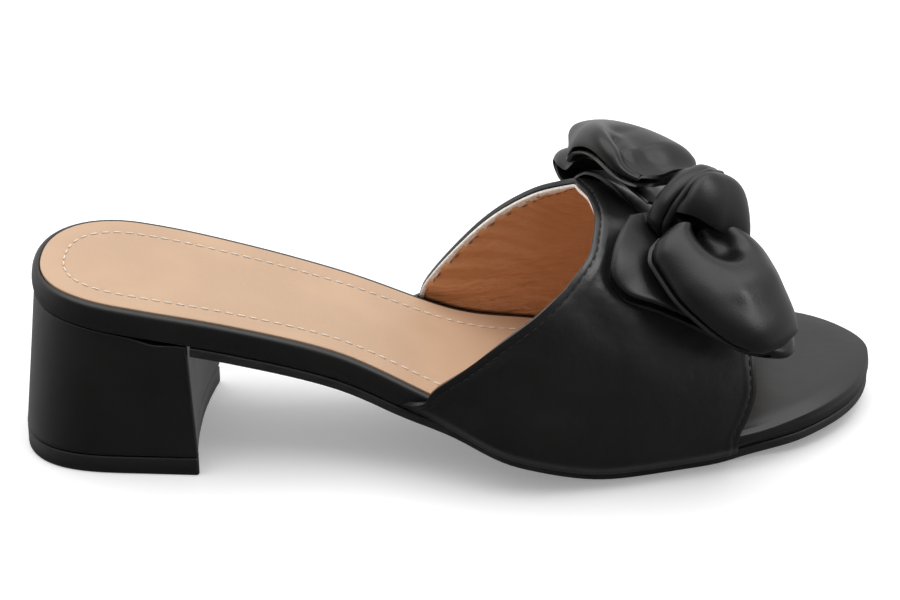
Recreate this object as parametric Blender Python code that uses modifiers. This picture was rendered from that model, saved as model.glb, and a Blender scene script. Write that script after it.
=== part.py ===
"""Block heel mule for the right foot, in metres.

+X runs from heel to toe, +Y to the inner side of the foot and +Z up. The origin lies on the
floor under the middle of the heel. A share is a part of the named length beside it.
"""

import math
from collections import namedtuple

import bmesh
import bpy
import numpy as np

# Footbed: the board that carries the foot, and the sock glued on it
BED_LENGTH = 0.236
BALL_WIDTH = 0.0725
SEAT_HEIGHT = 0.054
TOE_SWING = 0.0266
BOARD = 0.0069
BOARD_ROUND = 0.0013
SOCK = 0.0008
SOCK_MARGIN = 0.0025
SOCK_END_SHARE = 0.78
GAP = 0.0003

# Outsole
SOLE = 0.0030
SOLE_TUCK = 0.0030
SOLE_ROUND = 0.0006

# Heel
HEEL_LENGTH = 0.0513
HEEL_WIDTH = 0.0516
HEEL_TOP_LENGTH = 0.0452
HEEL_POWER = 2.8
HEEL_CURVE_SHARE = 0.60
HEEL_FLAT_SHARE = 0.0015
BREAST_HOLLOW = 0.0025
BREAST_CORNER_SHARE = 0.015
BREAST_TURN_SHARE = 0.12
BREAST_NARROW_SHARE = 0.96
BREAST_MIDDLE_SHARE = 0.5
TIP = 0.0055
HEEL_BACK = 0.0222
HEEL_SIDE = 0.0030

# Upper
WALL = 0.0022
INSTEP_HEIGHT = 0.074
FRONT_HEIGHT = 0.044
INSTEP_SHARE = 0.665
FRONT_SHARE = 0.847
CROWN_EASE_SHARE = 0.010
CROWN_POWER = 5
LAST_POWER = 2.3
VAMP_END_SHARE = 0.87

# Bow
BOW_SPAN = 0.094
RIBBON_WALL = 0.0010
RIBBON_SLIT = 0.0006
REST_GAP = 0.0007
REST_BLEND = 0.0006
RIBBON_POWER = 2.6
TIP_POWER = 4
SLIT_POWER = 10
ROOT_SWELL_SHARE = 0.2
TIP_CURVE_SHARE = 0.05
KNOT_SHARE = 0.781
KNOT_SIDE = 0.0060
KNOT_RISE = 0.0175
KNOT_TURN = 38
KNOT_TILT = 25
KNOT_REACH = 0.0105
KNOT_HEIGHT = 0.0095
KNOT_DEPTH = 0.0075
KNOT_MOUTH = 0.0025
KNOT_DROP = 0.0035
KNOT_NEAR_TOE = 0.0165
KNOT_NEAR_HEEL = 0.0070
KNOT_NEAR_BELOW = 0.0030
KNOT_FAR = 0.0080
KNOT_WALL = 0.0014
KNOT_POWER = 0.8
KNOT_ARCH = 2.5
KNOT_WAIST_SHARE = 0.10

# The footbed's plan and side view. Lateral and medial are half widths, as shares of BALL_WIDTH.
# Height runs from 0 at the ball to 1 at the seat.
Station = namedtuple("Station", "along lateral medial height")
STATIONS = (
    Station(0.00, 0.369, 0.368, 1.000),
    Station(0.06, 0.360, 0.356, 0.977),
    Station(0.14, 0.361, 0.363, 0.910),
    Station(0.24, 0.342, 0.352, 0.796),
    Station(0.36, 0.330, 0.334, 0.624),
    Station(0.48, 0.378, 0.359, 0.350),
    Station(0.58, 0.474, 0.491, 0.146),
    Station(0.70, 0.446, 0.560, 0.000),
    Station(0.80, 0.415, 0.577, 0.000),
    Station(0.88, 0.406, 0.573, 0.054),
    Station(0.95, 0.441, 0.529, 0.098),
    Station(1.00, 0.494, 0.457, 0.109),
)
HEEL_END_SHARE = 0.115
HEEL_END_POWER = 2.2
TOE_END_SHARE = 0.19
TOE_POWER = {-1: 2.04, 1: 1.65}

# Where the upper's two free edges run, as shares of BED_LENGTH, at each angle over the foot:
# 0 degrees at the lateral sole, 180 at the medial sole.
Edge = namedtuple("Edge", "angle topline front")
EDGES = (
    Edge(0, 0.468, 0.837),
    Edge(8, 0.508, 0.849),
    Edge(22, 0.563, 0.857),
    Edge(34, 0.605, 0.855),
    Edge(49, 0.641, 0.851),
    Edge(63, 0.661, 0.849),
    Edge(78, 0.665, 0.848),
    Edge(105, 0.648, 0.848),
    Edge(122, 0.638, 0.848),
    Edge(132, 0.621, 0.847),
    Edge(146, 0.583, 0.846),
    Edge(162, 0.518, 0.843),
    Edge(180, 0.447, 0.835),
)

# The bow's loops. Root and tip are shares of BOW_SPAN from the middle of the knot. Puff and under
# are how far the upper and lower layer swell, dip is the dimple beside the knot, over leaves room
# for the ribbon below, and the outline gives the two half widths at each share of the loop's
# length: all are shares of BOW_SPAN.
Loop = namedtuple("Loop", "name over root tip puff under dip outline")
Rim = namedtuple("Rim", "reach left right")
LOOPS = (
    Loop("bow_loop_upper_lateral", 0.051, (-0.02, -0.10, -0.04), (0.20, -0.35, -0.26), 0.060, 0.005, 0.04, (
        Rim(0.00, 0.03, 0.07), Rim(0.06, 0.14, 0.085), Rim(0.15, 0.20, 0.128), Rim(0.40, 0.19, 0.165),
        Rim(0.70, 0.15, 0.15), Rim(0.90, 0.105, 0.12), Rim(1.00, 0.06, 0.09))),
    Loop("bow_loop_upper_medial", 0.042, (-0.10, 0.07, 0.008), (-0.37, 0.39, 0.012), 0.060, 0.010, 0.00, (
        Rim(0.00, 0.06, 0.06), Rim(0.12, 0.12, 0.110), Rim(0.25, 0.135, 0.115), Rim(0.53, 0.14, 0.085),
        Rim(0.81, 0.13, 0.045), Rim(1.00, 0.09, 0.00))),
    Loop("bow_loop_lower_lateral", 0.0, (-0.15, -0.02, -0.12), (0.26, -0.31, -0.31), 0.010, 0.000, 0.00, (
        Rim(0.00, 0.10, 0.02), Rim(0.05, 0.22, 0.05), Rim(0.16, 0.205, 0.08), Rim(0.39, 0.18, 0.10),
        Rim(0.61, 0.145, 0.105), Rim(0.88, 0.105, 0.11), Rim(1.00, 0.06, 0.09))),
    Loop("bow_loop_lower_medial", 0.0, (-0.10, 0.06, -0.12), (-0.41, 0.45, -0.08), 0.010, 0.000, 0.00, (
        Rim(0.00, 0.06, 0.06), Rim(0.20, 0.10, 0.085), Rim(0.50, 0.13, 0.08), Rim(0.88, 0.13, 0.068),
        Rim(1.00, 0.10, 0.045))),
)

BOARD_DROP = SOCK + GAP
UNDER_DROP = BOARD_DROP + BOARD
SOLE_DROP = UNDER_DROP + GAP
BALL_HEIGHT = SOLE + SOLE_DROP
UPPER_OUT = WALL + GAP
SOLE_START = (HEEL_TOP_LENGTH + 3 * GAP) / BED_LENGTH

for thing in list(bpy.data.objects):
    bpy.data.objects.remove(thing, do_unlink=True)
PARTS = bpy.data.collections.new("block_heel_mule")
bpy.context.scene.collection.children.link(PARTS)


def monotone(knots, values, at):
    """Cubic curve through the values that never overshoots them."""
    knots = np.asarray(knots, float)
    values = np.asarray(values, float)
    step = np.diff(knots)
    slope = np.diff(values) / step
    rising = slope[:-1] * slope[1:] > 0
    total = np.where(rising, slope[:-1] + slope[1:], 1.0)
    middle = np.where(rising, 2 * slope[:-1] * slope[1:] / total, 0.0)
    tangent = np.concatenate((slope[:1], middle, slope[-1:]))
    at = np.clip(at, knots[0], knots[-1])
    i = np.clip(np.searchsorted(knots, at) - 1, 0, len(step) - 1)
    t = (at - knots[i]) / step[i]
    return (values[i] * (1 + 2 * t) * (1 - t) ** 2 + step[i] * tangent[i] * t * (1 - t) ** 2
            + values[i + 1] * t * t * (3 - 2 * t) + step[i] * tangent[i + 1] * t * t * (t - 1))


def smooth(low, high, value):
    t = np.clip((value - low) / (high - low), 0, 1)
    return t * t * (3 - 2 * t)


def station(column, share):
    rows = [getattr(row, column) for row in STATIONS]
    return monotone([row.along for row in STATIONS], rows, share)


def share_at(x):
    return (x + HEEL_BACK) / BED_LENGTH


def x_at(share):
    return share * BED_LENGTH - HEEL_BACK


def bed_top(x):
    """Height of the sock's face, which every layer below follows."""
    return BALL_HEIGHT + (SEAT_HEIGHT - BALL_HEIGHT) * station("height", share_at(x))


def bed_edge(x, side):
    """Y of the footbed's edge: side -1 is lateral, 1 is medial."""
    share = np.clip(share_at(x), 0, 1)
    half = BALL_WIDTH * station("lateral" if side < 0 else "medial", share)
    heel = np.clip(1 - share / HEEL_END_SHARE, 0, 1)
    toe = np.clip(1 - (1 - share) / TOE_END_SHARE, 0, 1)
    power = TOE_POWER[side]
    half = half * (1 - heel ** HEEL_END_POWER) ** (1 / HEEL_END_POWER) * (1 - toe ** power) ** (1 / power)
    return HEEL_SIDE + side * half + TOE_SWING * np.clip(2 * share - 1, 0, 1) ** 2


def inset_ring(ring, inset):
    """Moves a closed outline in by the same distance all round, with mitred corners."""
    ahead = np.roll(ring, -1, axis=0) - ring
    ahead /= np.linalg.norm(ahead, axis=1)[:, None]
    inward = np.stack((-ahead[:, 1], ahead[:, 0]), axis=1)
    before = np.roll(inward, 1, axis=0)
    mitre = (inward + before) / (1 + (inward * before).sum(axis=1))[:, None]
    return ring + mitre * np.reshape(inset, (-1, 1))


def bed_ring(first, last, inset, drop, spread=0.0, steps=56, tip=0.03):
    """Outline of the footbed between two shares, moved in, at a drop below the sock's face.

    spread widens it under the upper, from its rear corners to its front edge. Its points close up
    towards both ends, which the angle tip leaves blunt.
    """
    share = first + (last - first) * (1 - np.cos(np.linspace(tip, math.pi - tip, steps))) / 2
    x = x_at(share)
    lateral = np.stack((x, bed_edge(x, -1)), axis=1)
    medial = np.stack((x, bed_edge(x, 1)), axis=1)
    under_upper = smooth(0.42, 0.52, share) * (1 - smooth(0.84, 0.92, share))
    inset = inset - spread * np.concatenate((under_upper, under_upper[::-1]))
    plan = inset_ring(np.concatenate((lateral, medial[::-1])), inset)
    height = bed_top(np.clip(plan[:, 0], x_at(first), x_at(last))) - drop
    return np.column_stack((plan, height))


def material(name, colour, roughness):
    look = bpy.data.materials.new(name)
    look.use_nodes = True
    shader = look.node_tree.nodes["Principled BSDF"]
    shader.inputs["Base Color"].default_value = (*colour, 1.0)
    shader.inputs["Roughness"].default_value = roughness
    shader.inputs["Metallic"].default_value = 0.0
    return look


def add_object(name, bm, look, sharp=40):
    mesh = bpy.data.meshes.new(name)
    bm.to_mesh(mesh)
    bm.free()
    mesh.shade_smooth()
    mesh.set_sharp_from_angle(angle=math.radians(sharp))
    mesh.materials.append(look)
    thing = bpy.data.objects.new(name, mesh)
    PARTS.objects.link(thing)
    return thing


def stack(name, rings, look, strips):
    """Solid through rings from the bottom up. Its ends are strips from side to side, or one face."""
    bm = bmesh.new()
    loops = [[bm.verts.new(point) for point in ring] for ring in rings]
    count = len(rings[0])
    for low, high in zip(loops, loops[1:]):
        for i in range(count):
            j = (i + 1) % count
            bm.faces.new((low[i], low[j], high[j], high[i]))
    if strips:
        for i in range(count // 2 - 1):
            a, b, c, d = i, i + 1, count - 2 - i, count - 1 - i
            bm.faces.new([loops[-1][k] for k in (a, b, c, d)])
            bm.faces.new([loops[0][k] for k in (d, c, b, a)])
    else:
        bm.faces.new(loops[-1])
        bm.faces.new(loops[0][::-1])
    return add_object(name, bm, look)


def sheet(name, grid, look, thickness, closed=False, even=True):
    """Open sheet through a grid of points, thickened outwards. closed joins its first and last rows."""
    bm = bmesh.new()
    rows = [[bm.verts.new(point) for point in row] for row in grid]
    if closed:
        rows.append(rows[0])
    for low, high in zip(rows, rows[1:]):
        for i in range(len(low) - 1):
            bm.faces.new((low[i], low[i + 1], high[i + 1], high[i]))
    thing = add_object(name, bm, look)
    wall = thing.modifiers.new("wall", "SOLIDIFY")
    wall.thickness = thickness
    wall.offset = 1.0
    wall.use_even_offset = even
    return thing


BLACK = material("black_faux_leather", (0.012, 0.012, 0.013), 0.32)
HEEL_BLACK = material("heel_cover", (0.012, 0.012, 0.013), 0.28)
RUBBER = material("black_rubber", (0.018, 0.018, 0.018), 0.60)
TAN = material("tan_sock", (0.66, 0.45, 0.30), 0.55)


# Footbed, sock and outsole: each follows the same plan and side view at its own drop
def build_bed():
    round_in = BOARD_ROUND * (1 - math.sqrt(0.5))
    profile = ((SOLE_ROUND, UNDER_DROP), (0, UNDER_DROP - SOLE_ROUND), (0, BOARD_DROP + BOARD_ROUND),
               (round_in, BOARD_DROP + round_in), (BOARD_ROUND, BOARD_DROP))
    stack("footbed", [bed_ring(0, 1, inset, drop) for inset, drop in profile], BLACK, True)
    profile = ((SOCK_MARGIN, SOCK), (SOCK_MARGIN, 0))
    stack("sock", [bed_ring(0, SOCK_END_SHARE, inset, drop) for inset, drop in profile], TAN, True)
    profile = ((SOLE_ROUND, SOLE_DROP + SOLE), (0, SOLE_DROP + SOLE - SOLE_ROUND), (0, SOLE_DROP))
    rings = [bed_ring(SOLE_START, 1, inset, drop, -SOLE_TUCK) for inset, drop in profile]
    stack("outsole", rings, RUBBER, True)


# Heel: its floor plan is a squarish D, and its top follows the footbed's edge
def heel_ring(rise, height=None, steps=14):
    """Plan of the heel at a rise from 0 at the floor to 1 under the footbed.

    Its last two points on each side are the breast's round corner and its hollow middle.
    """
    curve = 1 - np.cos(np.linspace(2 * math.sqrt(2 * HEEL_FLAT_SHARE), math.pi / 2, steps))
    along = np.concatenate(([HEEL_FLAT_SHARE], curve[:-1], [1 - BREAST_CORNER_SHARE, 1.0, 1.0]))
    floor_x = HEEL_LENGTH * (along - 0.5)
    corner = np.clip(1 - along / HEEL_CURVE_SHARE, 0, 1)
    floor_y = HEEL_WIDTH / 2 * (1 - corner ** HEEL_POWER) ** (1 / HEEL_POWER)
    top_x = GAP - HEEL_BACK + HEEL_TOP_LENGTH * along
    inner = np.ones(len(along))
    inner[-2:] = BREAST_NARROW_SHARE, BREAST_MIDDLE_SHARE
    hollow = BREAST_HOLLOW * np.array((BREAST_TURN_SHARE, 1))
    floor_x[-2:] -= hollow
    top_x[-2:] -= hollow
    sides = []
    for side in (-1, 1):
        top_y = HEEL_SIDE + (bed_edge(top_x, side) - side * GAP - HEEL_SIDE) * inner
        floor = np.stack((floor_x, side * floor_y * inner), axis=1)
        top = np.stack((top_x, top_y), axis=1)
        sides.append(floor * (1 - rise) + top * rise)
    plan = np.concatenate((sides[0], sides[1][::-1]))
    foot = TIP + GAP
    top_height = bed_top(np.concatenate((top_x, top_x[::-1]))) - UNDER_DROP - GAP
    if height is None:
        height = foot + (top_height - foot) * rise
    return np.column_stack((plan, np.broadcast_to(height, len(plan))))


def build_heel():
    stack("heel_block", [heel_ring(rise) for rise in (0, 0.25, 0.5, 0.75, 1)], HEEL_BLACK, False)
    stack("heel_tip", [heel_ring(0, height) for height in (0, TIP)], RUBBER, False)


# Upper: one wall on the last, between its topline and its front edge
def crest_height(x):
    fall = (INSTEP_HEIGHT - FRONT_HEIGHT) / (FRONT_SHARE - INSTEP_SHARE)
    return INSTEP_HEIGHT - fall * (share_at(x) - INSTEP_SHARE)


def crown_dip(x, angle):
    """How far the crest lies below its straight line behind the instep, where the topline rounds it."""
    fall = (INSTEP_HEIGHT - FRONT_HEIGHT) / (FRONT_SHARE - INSTEP_SHARE)
    behind = CROWN_EASE_SHARE * np.logaddexp(0, (INSTEP_SHARE - share_at(x)) / CROWN_EASE_SHARE)
    return fall * behind * np.sin(angle) ** CROWN_POWER


def last_section(x, out):
    """Middle, half width, base and height of the last's section, out from the footbed's side."""
    lateral = bed_edge(x, -1) - out
    medial = bed_edge(x, 1) + out
    base = bed_top(x) - BOARD_DROP
    return (lateral + medial) / 2, (medial - lateral) / 2, base, crest_height(x) - UPPER_OUT + out - base


def last_point(x, angle, out):
    middle, half, base, height = last_section(x, out)
    swing = -np.sign(np.cos(angle)) * np.abs(np.cos(angle)) ** (2 / LAST_POWER)
    rise = height * np.sin(angle) ** (2 / LAST_POWER) - crown_dip(x, angle)
    return np.stack((x, middle + half * swing, base + rise), axis=-1)


def vamp_height(x, y):
    """Height of the upper's outer face over a point of the floor, or none beside it."""
    middle, half, base, height = last_section(x, UPPER_OUT)
    inside = 1 - np.clip(np.abs((y - middle) / half), 0, 1) ** LAST_POWER
    return np.where(share_at(x) < VAMP_END_SHARE, base + height * inside ** (1 / LAST_POWER), 0)


def build_upper(rows=40, steps=16):
    """The wall stands upright beside the board, from the outsole up, and curves in above it."""
    angle = np.linspace(0, math.pi, rows)
    degrees = np.degrees(angle)
    back = monotone([e.angle for e in EDGES], [e.topline for e in EDGES], degrees)
    front = monotone([e.angle for e in EDGES], [e.front for e in EDGES], degrees)
    grid = []
    for i in range(steps + 1):
        row = last_point(x_at(back + (front - back) * i / steps), angle, GAP)
        feet = row[[0, -1]] - (0, 0, BOARD - GAP / 2)
        grid.append(np.concatenate((feet[:1], row, feet[1:])))
    sheet("upper", grid[::-1], BLACK, WALL)


def above_vamp(spot, rest):
    """Height of a point, raised where it would come nearer to the upper than rest."""
    x, y = spot[0], spot[1]
    step = 0.0005
    slope_x = (vamp_height(x + step, y) - vamp_height(x - step, y)) / (2 * step)
    slope_y = (vamp_height(x, y + step) - vamp_height(x, y - step)) / (2 * step)
    floor = vamp_height(x, y) + rest * min(2.0, math.sqrt(1 + slope_x ** 2 + slope_y ** 2))
    over = (spot[2] - floor) / REST_BLEND
    return floor + REST_BLEND * np.logaddexp(over, 0)


# Bow: each loop is a ribbon that runs out from the knot, turns at its tip and comes back below
def knot_centre():
    x = x_at(KNOT_SHARE)
    y = HEEL_SIDE + KNOT_SIDE
    return np.array((x, y, vamp_height(x, y) + KNOT_RISE))


def loop_grid(loop, steps=10, across=9):
    """Inner face of a folded ribbon: out along its upper layer, round the tip and back below."""
    centre = knot_centre()
    root = centre + BOW_SPAN * np.array(loop.root)
    out = centre + BOW_SPAN * np.array(loop.tip) - root
    wide = np.cross(out, (0, 0, 1))
    wide /= np.linalg.norm(wide)
    up = np.cross(wide, out)
    up /= np.linalg.norm(up)
    reaches = [rim.reach for rim in loop.outline]
    rest = REST_GAP + RIBBON_SLIT + RIBBON_WALL + BOW_SPAN * (loop.under + loop.over)
    grid = []
    for turn in np.linspace(-1, 1, 2 * steps + 1):
        reach = (1 + math.cos(math.pi * turn)) / 2
        left = BOW_SPAN * monotone(reaches, [rim.left for rim in loop.outline], reach)
        right = BOW_SPAN * monotone(reaches, [rim.right for rim in loop.outline], reach)
        swell = BOW_SPAN * (loop.puff if turn < 0 else loop.under) * (1 - reach ** TIP_POWER) ** 0.5
        swell *= ROOT_SWELL_SHARE + (1 - ROOT_SWELL_SHARE) * smooth(0, 0.2, reach)
        slit = RIBBON_SLIT * (1 - reach ** SLIT_POWER) ** 0.5
        row = []
        for v in np.linspace(-1, 1, across):
            spot = root + out * reach * (1 - TIP_CURVE_SHARE * v * v)
            spot += wide * v * (left if v > 0 else right)
            spot[2] -= BOW_SPAN * loop.dip * (1 - smooth(0, 0.45, reach)) * (1 - v * v)
            spot[2] = above_vamp(spot, rest)
            lift = slit + swell * (1 - abs(v) ** RIBBON_POWER) ** 0.5
            row.append(spot + up * (lift if turn < 0 else -lift))
        grid.append(row)
    return np.array(grid)


def knot_frame():
    """Unit vectors of the knot: along the bow to its medial side, across it to the toe, and up."""
    turn, tilt = math.radians(KNOT_TURN), math.radians(KNOT_TILT)
    along = np.array((-math.sin(turn), math.cos(turn), 0))
    across = np.array((math.cos(turn) * math.cos(tilt), math.sin(turn) * math.cos(tilt), -math.sin(tilt)))
    return along, across, np.cross(across, along)


def power(value, exponent):
    return math.copysign(abs(value) ** exponent, value)


def knot_grid(rounds=24, steps=9):
    """Inner face of the ribbon round the bow's middle. Its mouths press flat on the loops."""
    along, across, up = knot_frame()
    grid = []
    for angle in np.linspace(0, 2 * math.pi, rounds, endpoint=False):
        toe = (1 + math.cos(angle)) / 2
        above = smooth(-0.25, 0.45, math.sin(angle))
        deep = KNOT_HEIGHT if math.sin(angle) > 0 else KNOT_DEPTH
        near = KNOT_NEAR_HEEL + (KNOT_NEAR_TOE - KNOT_NEAR_HEEL) * toe
        near = KNOT_NEAR_BELOW + (near - KNOT_NEAR_BELOW) * above
        row = []
        for v in np.linspace(-1, 1, steps):
            waist = 1 - KNOT_WAIST_SHARE * abs(v) ** 3
            tall = KNOT_MOUTH + (deep - KNOT_MOUTH) * (1 - abs(v) ** KNOT_ARCH) ** 0.5
            spot = knot_centre() + along * v * (KNOT_FAR if v > 0 else near)
            spot += across * KNOT_REACH * waist * power(math.cos(angle), KNOT_POWER)
            spot += up * tall * power(math.sin(angle), KNOT_POWER)
            row.append(spot - up * KNOT_DROP * min(v, 0) ** 2)
        grid.append(row)
    return np.array(grid)


def build_bow():
    for loop in LOOPS:
        sheet(loop.name, loop_grid(loop), BLACK, RIBBON_WALL, even=False)
    sheet("bow_knot", knot_grid(), BLACK, KNOT_WALL, closed=True, even=False)


build_bed()
build_heel()
build_upper()
build_bow()
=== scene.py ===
"""The looks of a block heel mule for the right foot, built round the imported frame.

Lengths are in metres, along the frame's axes: +X from heel to toe, +Y to the inner side of the foot
and +Z up, with the origin on the floor under the middle of the heel. A share is a part of the
named length beside it. Lateral is the outer side of the foot and medial the inner side.
"""

import math
from collections import namedtuple

import bmesh
import bpy
import numpy as np
from mathutils import Matrix, Vector


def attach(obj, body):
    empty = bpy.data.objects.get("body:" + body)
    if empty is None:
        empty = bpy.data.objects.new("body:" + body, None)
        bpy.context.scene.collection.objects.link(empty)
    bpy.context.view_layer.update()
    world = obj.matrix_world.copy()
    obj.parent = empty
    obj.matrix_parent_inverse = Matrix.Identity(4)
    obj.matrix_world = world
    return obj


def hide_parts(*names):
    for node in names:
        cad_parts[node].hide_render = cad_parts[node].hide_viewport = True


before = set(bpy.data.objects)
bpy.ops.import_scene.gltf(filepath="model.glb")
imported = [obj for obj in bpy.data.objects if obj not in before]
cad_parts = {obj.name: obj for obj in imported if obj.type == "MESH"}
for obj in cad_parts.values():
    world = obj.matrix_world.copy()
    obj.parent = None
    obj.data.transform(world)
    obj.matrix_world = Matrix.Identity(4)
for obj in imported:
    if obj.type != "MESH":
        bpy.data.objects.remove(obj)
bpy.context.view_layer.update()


# Outsole
# A sheet of black rubber, cut to the foot's outline and glued under the footbed from the heel's
# front face to the toe. Its sides are trimmed square and its edges are broken by buffing.
BED_LENGTH = 0.236
BALL_WIDTH = 0.0725
SEAT_HEIGHT = 0.054
TOE_SWING = 0.0266
HEEL_BACK = 0.0222
HEEL_SIDE = 0.0030
BOARD = 0.0069
SOCK = 0.0008
GAP = 0.0003
SOLE = 0.0030
SOLE_TUCK = 0.0030
SOLE_ROUND = 0.0007
SOLE_START_SHARE = 0.196
BOARD_DROP = SOCK + GAP
UNDER_DROP = BOARD_DROP + BOARD
SOLE_DROP = UNDER_DROP + GAP
BALL_HEIGHT = SOLE + SOLE_DROP

Station = namedtuple("Station", "along lateral medial height")
STATIONS = (
    Station(0.00, 0.369, 0.368, 1.000),
    Station(0.06, 0.360, 0.356, 0.977),
    Station(0.14, 0.361, 0.363, 0.910),
    Station(0.24, 0.342, 0.352, 0.796),
    Station(0.36, 0.330, 0.334, 0.624),
    Station(0.48, 0.378, 0.359, 0.350),
    Station(0.58, 0.474, 0.491, 0.146),
    Station(0.70, 0.446, 0.560, 0.000),
    Station(0.80, 0.415, 0.577, 0.000),
    Station(0.88, 0.406, 0.573, 0.054),
    Station(0.95, 0.441, 0.529, 0.098),
    Station(1.00, 0.494, 0.457, 0.109),
)
STATION_EASE = 0.02
HEEL_END_SHARE = 0.115
HEEL_END_POWER = 2.2
TOE_END_SHARE = 0.19
TOE_POWER = {-1: 2.04, 1: 1.65}
UPPER_STARTS = (0.42, 0.52)
UPPER_ENDS = (0.84, 0.92)
RING_TIP = 0.02
MIDDLE_END_SHARE = 0.14


def monotone(knots, values, at):
    """Cubic curve through the values that never overshoots them."""
    knots = np.asarray(knots, float)
    values = np.asarray(values, float)
    step = np.diff(knots)
    slope = np.diff(values) / step
    rising = slope[:-1] * slope[1:] > 0
    total = np.where(rising, slope[:-1] + slope[1:], 1.0)
    middle = np.where(rising, 2 * slope[:-1] * slope[1:] / total, 0.0)
    tangent = np.concatenate((slope[:1], middle, slope[-1:]))
    at = np.clip(at, knots[0], knots[-1])
    i = np.clip(np.searchsorted(knots, at) - 1, 0, len(step) - 1)
    t = (at - knots[i]) / step[i]
    return (values[i] * (1 + 2 * t) * (1 - t) ** 2 + step[i] * tangent[i] * t * (1 - t) ** 2
            + values[i + 1] * t * t * (3 - 2 * t) + step[i] * tangent[i + 1] * t * t * (t - 1))


def smooth(low, high, value):
    """0 below low, 1 above high, and a soft change between them."""
    t = np.clip((value - low) / (high - low), 0, 1)
    return t * t * (3 - 2 * t)


def eased(knots, values, at, ease):
    """The monotone curve, averaged a little to both sides so that it has no kinks."""
    spread = [monotone(knots, values, at + ease * k) for k in (-1, -0.5, 0, 0.5, 1)]
    return (spread[0] + 2 * spread[1] + 2 * spread[2] + 2 * spread[3] + spread[4]) / 8


def station(column, share):
    """A column of the table at a share of the footbed's length."""
    values = [getattr(row, column) for row in STATIONS]
    return eased([row.along for row in STATIONS], values, share, STATION_EASE)


def share_at(x):
    return (x + HEEL_BACK) / BED_LENGTH


def x_at(share):
    return share * BED_LENGTH - HEEL_BACK


def bed_top(x):
    """Height of the sock's face, which every layer below follows."""
    return BALL_HEIGHT + (SEAT_HEIGHT - BALL_HEIGHT) * station("height", share_at(x))


def bed_edge(x, side):
    """Y of the footbed's edge: side -1 is lateral, 1 is medial."""
    share = np.clip(share_at(x), 0, 1)
    half = BALL_WIDTH * station("lateral" if side < 0 else "medial", share)
    heel = np.clip(1 - share / HEEL_END_SHARE, 0, 1)
    toe = np.clip(1 - (1 - share) / TOE_END_SHARE, 0, 1)
    power = TOE_POWER[side]
    half = half * (1 - heel ** HEEL_END_POWER) ** (1 / HEEL_END_POWER)
    half = half * (1 - toe ** power) ** (1 / power)
    return HEEL_SIDE + side * half + TOE_SWING * np.clip(2 * share - 1, 0, 1) ** 2


def bed_ring(first, last, inset, drop, spread=0.0, steps=110, inward=0.0):
    """Outline of the footbed between two shares, moved in by inset, at a drop below the sock's face.

    spread widens it under the upper. inward from 0 to 1 draws it in to the foot's middle line.
    """
    sweep = np.linspace(RING_TIP, math.pi - RING_TIP, steps)
    share = first + (last - first) * (1 - np.cos(sweep)) / 2
    x = x_at(share)
    lateral = np.stack((x, bed_edge(x, -1)), axis=1)
    medial = np.stack((x, bed_edge(x, 1)), axis=1)
    under_upper = smooth(*UPPER_STARTS, share) * (1 - smooth(*UPPER_ENDS, share))
    ring = np.concatenate((lateral, medial[::-1]))
    ahead = np.roll(ring, -1, axis=0) - ring
    ahead /= np.linalg.norm(ahead, axis=1)[:, None]
    normal = np.stack((-ahead[:, 1], ahead[:, 0]), axis=1)
    before = np.roll(normal, 1, axis=0)
    mitre = (normal + before) / (1 + (normal * before).sum(axis=1))[:, None]
    inset = inset - spread * np.concatenate((under_upper, under_upper[::-1]))
    plan = ring + mitre * np.reshape(inset, (-1, 1))
    middle_x = x_at(np.clip(share, first + MIDDLE_END_SHARE, last - MIDDLE_END_SHARE))
    middle = np.stack((middle_x, (bed_edge(middle_x, -1) + bed_edge(middle_x, 1)) / 2), axis=1)
    middle = np.concatenate((middle, middle[::-1]))
    plan = plan * (1 - inward) + middle * inward
    height = bed_top(np.clip(plan[:, 0], x_at(first), x_at(last))) - drop
    return np.column_stack((plan, height))


def add_object(name, bm, looks, sharp=180):
    """Puts a finished bmesh in the scene as a smooth piece of the shoe's one body."""
    mesh = bpy.data.meshes.new(name)
    bm.to_mesh(mesh)
    bm.free()
    mesh.shade_smooth()
    if sharp < 180:
        mesh.set_sharp_from_angle(angle=math.radians(sharp))
    for look in looks:
        mesh.materials.append(look)
    thing = bpy.data.objects.new(name, mesh)
    bpy.context.scene.collection.objects.link(thing)
    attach(thing, "root")
    return thing


def draped(points):
    """A grid of faces whose corners are moved to rows of points. Its UV map runs 0 to 1 each way."""
    points = np.asarray(points)
    rows, columns = points.shape[:2]
    bm = bmesh.new()
    bm.loops.layers.uv.new("cut")
    bmesh.ops.create_grid(bm, x_segments=columns - 1, y_segments=rows - 1, size=0.5, calc_uvs=True)
    for vert, point in zip(bm.verts, points.reshape(-1, 3)):
        vert.co = point
    return bm


def ring_solid(name, rings, looks, sharp=180):
    """Closed solid through closed rings, whose first and last are drawn in to a line or filled."""
    bm = draped([np.concatenate((ring, ring[:1])) for ring in rings])
    bmesh.ops.remove_doubles(bm, verts=bm.verts, dist=1e-7)
    bmesh.ops.holes_fill(bm, edges=[edge for edge in bm.edges if edge.is_boundary], sides=0)
    bmesh.ops.recalc_face_normals(bm, faces=bm.faces)
    return add_object(name, bm, looks, sharp)


class Value:
    """A shader socket that takes part in sums: an expression on it adds its Math nodes."""

    def __init__(self, nodes, socket):
        self.nodes = nodes
        self.socket = socket

    def __add__(self, other):
        return self.nodes.node("Math", {"operation": "ADD"}, {0: self, 1: other})

    def __mul__(self, other):
        return self.nodes.node("Math", {"operation": "MULTIPLY"}, {0: self, 1: other})

    __radd__ = __add__
    __rmul__ = __mul__

    def ramp(self, low, high, start=0.0, end=1.0):
        """start below low, end above high, and a soft change between them."""
        sockets = {"Value": self, "From Min": low, "From Max": high, "To Min": start, "To Max": end}
        return self.nodes.node("MapRange", {"interpolation_type": "SMOOTHSTEP"}, sockets)


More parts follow.
